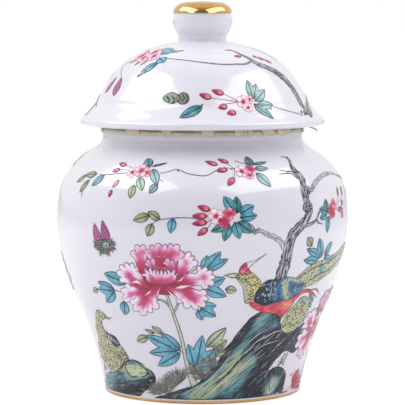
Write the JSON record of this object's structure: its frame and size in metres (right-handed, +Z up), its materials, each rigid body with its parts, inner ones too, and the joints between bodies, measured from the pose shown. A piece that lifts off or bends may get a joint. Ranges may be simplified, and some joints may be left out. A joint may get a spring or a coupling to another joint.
{
  "type": "ginger jar",
  "caption": "Lidded baluster ginger jar in glazed porcelain with a domed, flared lid, a gilt bun knob, a gilt foot line and a cloth strip that packs the lid into the neck.",
  "frame": {"origin": "centre of the foot ring, on the surface that the jar stands on", "axes": "+Z up along the axis that the jar was turned on; -Y faces the side with the large peony; the strip's cut end is towards +X"},
  "size_m": [0.1574, 0.1574, 0.21],
  "materials": {
    "porcelain": "clear glossy glaze over white porcelain, painted with pink, turquoise, leaf-green, grey and iron-red enamels",
    "gilding": "burnished gold fired on the glaze",
    "cloth": "undyed woven tape"
  },
  "bodies": {
    "jar": {"jar_body": "porcelain", "foot_gilding": "gilding"},
    "strip": {"cloth_strip": "cloth", "cloth_end": "cloth"},
    "lid": {"lid_dome": "porcelain", "lid_collar": "porcelain", "lid_knob": "porcelain", "knob_gilding": "gilding"}
  },
  "joints": [
    {"name": "lid_lift", "type": "slide", "parent": "jar", "child": "strip", "axis": [0, 0, 1], "range_m": [0, 0.1]},
    {"name": "lid_turn", "type": "hinge", "parent": "strip", "child": "lid", "pos_m": [0, 0, 0.144], "axis": [0, 0, 1], "continuous": true}
  ]
}
